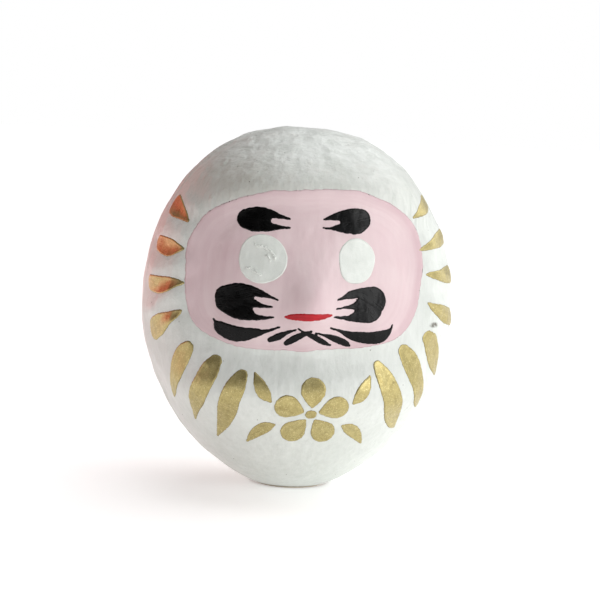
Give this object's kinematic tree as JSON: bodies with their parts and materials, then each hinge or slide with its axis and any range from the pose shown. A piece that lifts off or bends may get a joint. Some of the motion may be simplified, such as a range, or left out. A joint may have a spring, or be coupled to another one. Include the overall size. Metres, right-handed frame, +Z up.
{
  "type": "daruma doll",
  "caption": "Hollow papier-mache wishing doll with a sunken painted face, gold brush strokes and a clay-weighted round base that rights itself when tipped.",
  "frame": {"origin": "centre of the flat standing face under the doll, on the surface it stands on", "axes": "+Z up through the crown; -Y is the way the face looks; +X is to the right of someone who looks at the face"},
  "size_m": [0.1036, 0.0997, 0.12],
  "materials": {
    "moulded_paper": "matte",
    "seam_paper": "matte",
    "clay": "matte",
    "base_paper": "matte",
    "white_paint": "satin",
    "pink_paint": "satin",
    "eye_paint": "satin",
    "black_paint": "gloss",
    "red_paint": "gloss",
    "gold_paint": "satin"
  },
  "bodies": {
    "root": {"front_shell": "moulded_paper", "back_shell": "moulded_paper", "left_seam_strip": "seam_paper", "right_seam_strip": "seam_paper", "base_weight": "clay", "base_disc": "base_paper", "white_coat": "white_paint", "face_coat": "pink_paint", "left_eye_white": "eye_paint", "right_eye_white": "eye_paint", "left_eyebrow": "black_paint", "right_eyebrow": "black_paint", "left_moustache": "black_paint", "right_moustache": "black_paint", "left_whisker": "black_paint", "right_whisker": "black_paint", "chin_beard": "black_paint", "mouth": "red_paint", "left_shoulder_strokes": "gold_paint", "right_shoulder_strokes": "gold_paint", "left_chest_strokes": "gold_paint", "right_chest_strokes": "gold_paint", "belly_motif": "gold_paint"}
  },
  "joints": []
}
